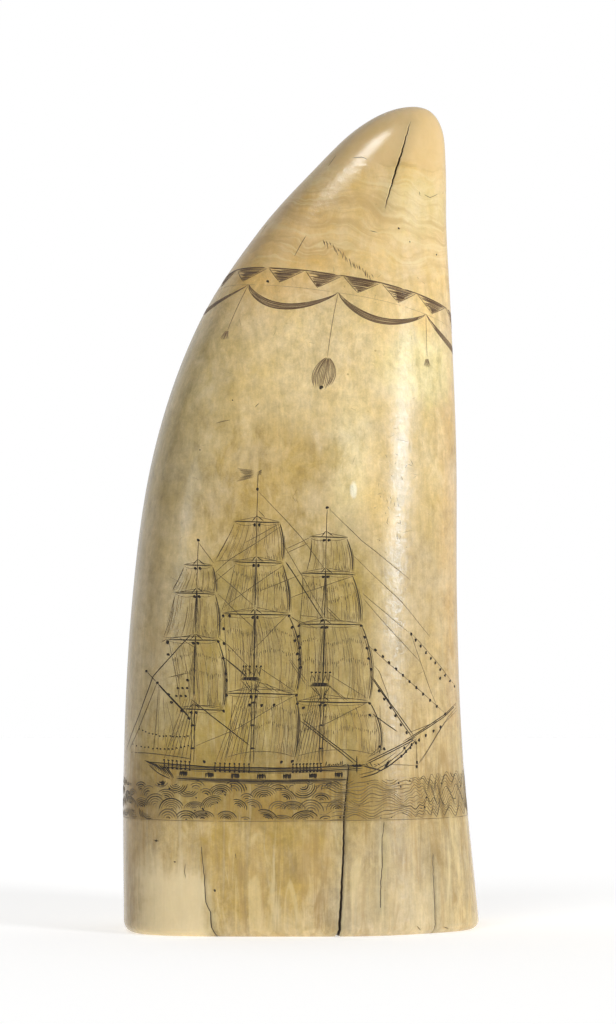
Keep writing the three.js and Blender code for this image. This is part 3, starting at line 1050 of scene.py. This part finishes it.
class Wire:
    # one output socket; + - * / and ** on it add Math nodes
    def __init__(self, finish, socket):
        self.finish = finish
        self.socket = socket

    def beside(self, number):
        # another output of the same node
        return Wire(self.finish, self.socket.node.outputs[number])

    def join(self, operation, first, second):
        return self.finish.node("ShaderNodeMath", {"operation": operation}, {0: first, 1: second})

    def __add__(self, other):
        return self.join("ADD", self, other)

    def __radd__(self, other):
        return self.join("ADD", other, self)

    def __sub__(self, other):
        return self.join("SUBTRACT", self, other)

    def __rsub__(self, other):
        return self.join("SUBTRACT", other, self)

    def __mul__(self, other):
        return self.join("MULTIPLY", self, other)

    def __rmul__(self, other):
        return self.join("MULTIPLY", other, self)

    def __truediv__(self, other):
        return self.join("DIVIDE", self, other)

    def __pow__(self, other):
        return self.join("POWER", self, other)


class Finish:
    # one material, with the nodes that its finish is made of
    def __init__(self, name):
        self.material = bpy.data.materials.new(name)
        self.material.use_nodes = True
        self.tree = self.material.node_tree
        self.shader = self.tree.nodes["Principled BSDF"]

    def feed(self, socket, value):
        if isinstance(value, Wire):
            self.tree.links.new(value.socket, socket)
        else:
            socket.default_value = value

    def node(self, kind, settings=None, sockets=None, out=0):
        made = self.tree.nodes.new(kind)
        for setting, value in (settings or {}).items():
            if setting == "stops":
                self.setStops(made.color_ramp.elements, value)
            else:
                setattr(made, setting, value)
        for name, value in (sockets or {}).items():
            self.feed(made.inputs[name], value)
        return Wire(self, made.outputs[out])

    def setStops(self, stops, values):
        for number, (share, colour) in enumerate(values):
            stop = stops[number] if number < 2 else stops.new(share)
            stop.position = share
            stop.color = (*colour, 1)

    def set(self, **sockets):
        for name, value in sockets.items():
            self.feed(self.shader.inputs[name.replace("_", " ")], value)

    def step(self, value, low, high):
        # 0 below low, 1 above high, smooth between; low may be the higher one
        return self.node("ShaderNodeMapRange", {"interpolation_type": "SMOOTHSTEP"},
                         {"Value": value, "From Min": low, "From Max": high})

    def mix(self, share, first, second, kind="MIX"):
        return self.node("ShaderNodeMix", {"data_type": "RGBA", "blend_type": kind},
                         {0: share, 6: first, 7: second}, 2)

    def noise(self, place, scale, detail=3, rough=0.5, wander=0):
        return self.node("ShaderNodeTexNoise", {}, {"Vector": place, "Scale": scale, "Detail": detail,
                                                    "Roughness": rough, "Distortion": wander})

    def stretched(self, place, scale):
        return self.node("ShaderNodeVectorMath", {"operation": "MULTIPLY"}, {0: place, 1: scale})


ivory = {  # colours as linear red, green and blue
    "patterns": {  # turns in a millimetre, detail, roughness, distortion, and how far drawn out upwards
        "drift": (0.11, 4, 0.6, 0, 1),
        "clouds": (0.07, 5, 0.6, 0.5, 0.7),
        "smears": (0.24, 6, 0.68, 0.7, 0.5),
        "blots": (0.6, 4, 0.6, 0.4, 1),
        "streaks": (0.6, 5, 0.62, 0.6, 0.07),
        "fibres": (2.6, 3, 0.65, 0, 0.06),
        "grain": (3.2, 4, 0.7, 0, 1),
        "flames": (0.3, 4, 0.6, 1.2, 0.16),
    },
    "body": (  # from the root up: share of the height, colour
        (0.0, (0.56, 0.43, 0.215)),
        (0.10, (0.50, 0.37, 0.165)),
        (0.20, (0.46, 0.34, 0.15)),
        (0.36, (0.50, 0.385, 0.18)),
        (0.50, (0.60, 0.455, 0.22)),
        (0.66, (0.72, 0.56, 0.285)),
        (0.80, (0.77, 0.56, 0.255)),
        (0.93, (0.79, 0.57, 0.26)),
    ),
    # clouded areas of the front: middle as x and up, reach across and up, colour, strength
    "clouded": (
        (-6, 53, 26, 28, (0.43, 0.325, 0.12), 0.85),
        # darker and greyer towards the left: the ivory's own tone with painted shade on the side turned
        # from the key light
        (-22, 112, 9, 20, (0.52, 0.42, 0.22), 0.55),
        (-4, 108, 15, 15, (0.62, 0.46, 0.195), 0.65),
        # a paler patch beside the right-hand highlight: painted sheen
        (10, 97, 5, 13, (0.86, 0.74, 0.43), 0.5),
        # these two: the left edge darker and greyer, the ivory's own tone with painted shade on the side
        # turned from the key light
        (-31, 90, 9, 45, (0.50, 0.40, 0.22), 0.7),
        (-33, 58, 6, 30, (0.53, 0.42, 0.245), 0.7),
        (24, 55, 10, 26, (0.58, 0.44, 0.235), 0.7),
        (32, 95, 4, 50, (0.62, 0.42, 0.19), 0.6),
        (23, 116, 8, 8, (0.84, 0.73, 0.38), 0.7),
        (24, 148, 7, 6, (0.78, 0.64, 0.33), 0.6),
        (5, 117, 15, 13, (0.83, 0.66, 0.36), 0.6),
        (-4, 96, 12, 7, (0.55, 0.39, 0.15), 0.55),
        (-9, 84, 10, 8, (0.48, 0.335, 0.12), 0.55),
        (18, 92, 6, 14, (0.74, 0.56, 0.28), 0.5),
        (-5, 140, 12, 12, (0.74, 0.49, 0.20), 0.6),
        (-7, 15, 17, 14, (0.48, 0.33, 0.10), 0.85),
        (20, 10, 15, 14, (0.47, 0.365, 0.2), 0.8),
        # a small white fleck: a chip's pale inside, with a painted glint on it
        (10.6, 90.4, 0.7, 1.6, (0.95, 0.88, 0.66), 1),
        (-20, 38, 12, 15, (0.40, 0.295, 0.085), 0.6),
        (5, 27, 11, 8, (0.40, 0.29, 0.10), 0.6),
        (-34, 18, 5, 16, (0.42, 0.30, 0.14), 0.7),
    ),
    "brown": (0.33, 0.21, 0.07, 1),
    "tan": (0.58, 0.385, 0.16, 1),
    "cream": (0.86, 0.71, 0.38, 1),
    "pale": (0.80, 0.655, 0.385, 1),
    "tip": (0.78, 0.56, 0.27, 1),
    "stainColour": (0.64, 0.56, 0.32, 1),
    "crackDark": (0.03, 0.019, 0.011, 1),
    # the cool grey multiplied into a band along each crack: painted shade
    "crackShadeColour": (0.80, 0.83, 0.86, 1),
    "polish": 0.2,
    "relief": (0.009, 0.028, 0.05),  # millimetres: fine grain, lumps and slow waves
}


def paintIvory():
    f = Finish("tooth_ivory")
    place = f.node("ShaderNodeTexCoord", out=3)
    at = f.node("ShaderNodeVectorMath", {"operation": "SCALE"}, {0: place, "Scale": 1 / unit})
    x = f.node("ShaderNodeSeparateXYZ", {}, {0: at})
    y, up = x.beside(1), x.beside(2)
    front = f.step(y, 4, -4)
    drift, clouds, smears, blots, streaks, fibres, grain, flames = [
        f.noise(f.stretched(at, (1, 1, upward)), *values) for *values, upward in ivory["patterns"].values()]
    share = (up + (clouds - 0.5) * 24) / height
    colour = f.node("ShaderNodeValToRGB", {"stops": ivory["body"]}, {0: share})
    ragged = (smears - 0.5) * 1.5 + (clouds - 0.5) * 1.2
    for middleX, middleUp, wide, tall, cloudColour, strength in ivory["clouded"]:
        away = (((x - middleX) / wide) ** 2 + ((up - middleUp) / tall) ** 2) ** 0.5 + ragged
        colour = f.mix(f.step(away, 1.35, 0.55) * front * strength, colour, (*cloudColour, 1))
    # clouds, smears and blots make it lighter and darker, and yellower where it is darker
    low = f.step(up, 90, 15)
    nearTip = f.step(up + (drift - 0.5) * 30, 126, 140)
    shade = (clouds - 0.5) * 0.4 + (smears - 0.5) * 0.75 + (blots - 0.5) * 0.6 + (grain - 0.5) * 0.45
    fine = ((streaks - 0.5) * (0.4 + low * 0.8) + (fibres - 0.5) * (0.25 + low * 0.1)) * (1 - nearTip * 0.8)
    colour = f.node("ShaderNodeHueSaturation", {}, {
        "Color": colour, "Value": 1 + shade * (1 - nearTip * 0.5) + fine,
        "Saturation": 1 - (smears - 0.5) * 0.4 - (drift - 0.5) * 0.45})
    # long brown and pale streaks, strongest at the root
    colour = f.mix(f.step(streaks, 0.52, 0.68) * (0.06 + low * 0.5), colour, ivory["brown"])
    colour = f.mix(f.step(streaks, 0.44, 0.3) * (0.06 + low * 0.25), colour, ivory["pale"])
    colour = f.mix(f.step(flames, 0.52, 0.68) * low * 0.55, colour, ivory["brown"])
    colour = f.mix(f.step(flames, 0.46, 0.32) * low * 0.3, colour, ivory["cream"])
    # growth bands below the tip, falling to the right
    sway = x * 0.16 + (f.noise(at, 0.07, 2) - 0.5) * 14 + (drift - 0.5) * 2.5
    sway = sway + (f.noise(at, 0.45, 2) - 0.5) * 0.9
    level = f.node("ShaderNodeCombineXYZ", {}, {0: x, 1: y, 2: up + sway})
    broad = f.noise(f.stretched(level, (0.1, 0.1, 1)), 0.36, 4, 0.6)
    lines = f.noise(f.stretched(level, (0.05, 0.05, 1)), 1.3, 3, 0.65)
    banded = nearTip * f.step(up, 164, 156)
    colour = f.mix(banded * f.step(broad, 0.5, 0.66) * 0.55, colour, ivory["tan"])
    colour = f.mix(banded * f.step(broad, 0.47, 0.33) * 0.35, colour, ivory["cream"])
    colour = f.mix(banded * f.step(lines, 0.53, 0.68) * 0.4, colour, ivory["cream"])
    colour = f.mix(banded * f.step(lines, 0.46, 0.3) * 0.3, colour, ivory["tan"])
    # the worn, polished tip
    tip = f.step(up + (f.noise(at, 0.3, 4) - 0.5) * 9 + x * 0.05, 157.2, 158.8)
    colour = f.mix(tip * 0.7, colour, ivory["tip"])
    # pale worn places at the root, to the left of the left crack and along the bottom
    edge = (drift - 0.5) * 14 + (streaks - 0.5) * 9
    leftPatch = f.step(x + edge * 0.4, -17.5, -20.5) * f.step(x + edge, -36, -30)
    leftPatch = leftPatch * f.step(up + edge + x * 0.35, 9, 2)
    rightPatch = f.step(x + edge * 0.3, 9, 11) * f.step(x + edge, 34, 26) * f.step(up + edge, 15, 8)
    middlePatch = f.step(x + edge, -12, -8) * f.step(x + edge, 6, 2) * f.step(up + edge * 1.4, 8, 2)
    colour = f.mix(leftPatch * front * 0.75, colour, ivory["pale"])
    colour = f.mix(rightPatch * front * 0.2, colour, ivory["pale"])
    colour = f.mix(middlePatch * front * 0.25, colour, ivory["pale"])
    # pigment rubbed into the picture
    stain = f.node("ShaderNodeAttribute", {"attribute_name": "stain"}, {}, 2)
    patchy = stain * f.step(smears + (streaks - 0.5) * 0.6, 0.3, 0.6)
    colour = f.mix(stain * 0.35 + patchy * 0.5, colour, ivory["stainColour"], "MULTIPLY")
    # specks, cracks, and painted shade along the cracks
    specks = f.node("ShaderNodeTexVoronoi", {}, {"Vector": at, "Scale": 0.2})
    colour = f.mix(f.step(specks, 0.075, 0.03) * f.step(grain, 0.45, 0.6) * 0.6, colour, ivory["brown"])
    gap = f.node("ShaderNodeAttribute", {"attribute_name": "gap"}, {}, 2)
    crackShade = f.node("ShaderNodeAttribute", {"attribute_name": "crackShade"}, {}, 2)
    crack = f.step(gap, 1.1, 0.7)
    # painted shade: a cool grey multiplied into the band along each crack
    colour = f.mix(crackShade * 0.8, colour, ivory["crackShadeColour"], "MULTIPLY")
    colour = f.mix(crack, colour, ivory["crackDark"])
    rough = ivory["polish"] + (streaks - 0.5) * 0.1 + (grain - 0.5) * 0.2 + crack * 0.5
    fineHeight, lumpHeight, waveHeight = ivory["relief"]
    relief = (f.noise(at, 1.2, 3, 0.6) * lumpHeight + f.noise(at, 0.3, 2) * waveHeight
              + (grain + fibres) * fineHeight) * (1 - tip * 0.6)
    bump = f.node("ShaderNodeBump", {}, {"Strength": 1, "Distance": unit, "Height": relief})
    f.set(Base_Color=colour, Roughness=rough, Normal=bump, IOR=1.52, Subsurface_Weight=0.1,
          Subsurface_Scale=1.2 * unit)
    f.shader.inputs["Subsurface Radius"].default_value = (1, 0.6, 0.3)
    return f.material


pigment = {  # colour of the deepest cuts and of the faintest
    "black": ((0.022, 0.015, 0.009, 1), (0.26, 0.185, 0.08, 1)),
    "brown": ((0.115, 0.062, 0.032, 1), (0.33, 0.23, 0.12, 1)),
}


def paintInk(name, dark, faint):
    # pigment in the cuts: the fainter the tone, the more of the ivory's brown it keeps
    f = Finish(name)
    tone = f.node("ShaderNodeAttribute", {"attribute_name": "tone"}, {}, 2)
    place = f.node("ShaderNodeTexCoord", out=3)
    uneven = f.noise(place, 0.35 / unit, 3, 0.6)
    colour = f.mix(f.step(tone + (uneven - 0.5) * 0.7, 0.1, 1), faint, dark)
    f.set(Base_Color=colour, Roughness=0.55)
    return f.material


toothPiece.data.materials.append(paintIvory())
blackInk = paintInk("ship_pigment", *pigment["black"])
brownInk = paintInk("border_pigment", *pigment["brown"])
inked = (shipPiece, blackInk), (seaPiece, blackInk), (agePiece, blackInk), (borderPiece, brownInk)
for piece, ink in inked:
    piece.data.materials.append(ink)
    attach(piece, "root")
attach(toothPiece, "root")
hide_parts("tooth")
print("stage 4: materials made")


# ---- table, lights and camera

studio = {
    "table": 1.6,  # metres across
    "tableColour": (0.8, 0.8, 0.8, 1),
    "tableGlow": 0.545,  # a translucent white table lit from below
    "roomDark": 0.05,  # round the camera
    "backdrop": 0.65,
    "lights": {  # degrees round from the camera's side and up, apparent size, strength, colour, gloss only
        "key_window": (50, 10, 16, 2.35, (1, 1, 1), False),
        "overhead_box": (-24, 55, 20, 0.5, (1, 1, 1), False),
        "window_gloss": (61, 7.5, 5, 0.42, (0.6, 0.78, 1), True),
        "overhead_gloss": (-22, 57, 15, 0.75, (0.9, 0.95, 1), True),
        "left_gloss": (-38, 13, 10, 0.1, (0.7, 0.85, 1), True),
    },
    "cameraDistance": 0.955,
    "cameraSide": 0.00132,
    "cameraHeight": 0.0859,
    "lens": 162,
}


def addTable():
    half = studio["table"] / 2
    mesh = bpy.data.meshes.new("table")
    corners = [(-half, -half, 0), (half, -half, 0), (half, half, 0), (-half, half, 0)]
    mesh.from_pydata(corners, [], [(0, 1, 2, 3)])
    table = bpy.data.objects.new("table", mesh)
    bpy.context.collection.objects.link(table)
    f = Finish("table_white")
    f.set(Base_Color=studio["tableColour"], Roughness=0.9, Specular_IOR_Level=0,
          Emission_Color=(1, 1, 1, 1), Emission_Strength=studio["tableGlow"])
    mesh.materials.append(f.material)


def addLight(name, azimuth, elevation, size, strength, colour, glossOnly):
    a, e = math.radians(azimuth), math.radians(elevation)
    toLight = Vector((math.sin(a) * math.cos(e), -math.cos(a) * math.cos(e), math.sin(e)))
    lamp = bpy.data.lights.new(name, "SUN")
    lamp.angle = math.radians(size)
    lamp.energy = strength
    lamp.color = colour
    light = bpy.data.objects.new(name, lamp)
    light.rotation_euler = toLight.to_track_quat("Z", "Y").to_euler()
    light.visible_diffuse = not glossOnly
    light.visible_glossy = glossOnly
    bpy.context.collection.objects.link(light)


def lightWorld():
    # the camera sees plain white; the tooth is lit by a pale backdrop behind it and a dim room in front
    world = bpy.data.worlds.new("room")
    world.use_nodes = True
    nodes, links = world.node_tree.nodes, world.node_tree.links
    direction = nodes.new("ShaderNodeTexCoord")
    split = nodes.new("ShaderNodeSeparateXYZ")
    links.new(direction.outputs["Generated"], split.inputs[0])
    room = nodes.new("ShaderNodeMapRange")
    room.interpolation_type = "SMOOTHSTEP"
    for socket, value in (("From Min", -0.15), ("From Max", 0.35), ("To Min", studio["roomDark"]),
                          ("To Max", studio["backdrop"])):
        room.inputs[socket].default_value = value
    links.new(split.outputs["Y"], room.inputs["Value"])
    rays = nodes.new("ShaderNodeLightPath")
    strength = nodes.new("ShaderNodeMapRange")
    links.new(rays.outputs["Is Camera Ray"], strength.inputs["Value"])
    links.new(room.outputs[0], strength.inputs["To Min"])
    nodes["Background"].inputs["Color"].default_value = (1, 1, 1, 1)
    links.new(strength.outputs[0], nodes["Background"].inputs["Strength"])
    bpy.context.scene.world = world


def addCamera():
    camera = bpy.data.objects.new("camera", bpy.data.cameras.new("camera"))
    camera.location = (studio["cameraSide"], -studio["cameraDistance"], studio["cameraHeight"])
    camera.rotation_euler = (math.pi / 2, 0, 0)
    camera.data.lens = studio["lens"]
    camera.data.clip_end = 100
    bpy.context.collection.objects.link(camera)
    bpy.context.scene.camera = camera


addTable()
for name, values in studio["lights"].items():
    addLight(name, *values)
lightWorld()
addCamera()
bpy.context.scene.view_settings.view_transform = "Standard"
print("stage 5: table, lights and camera set")
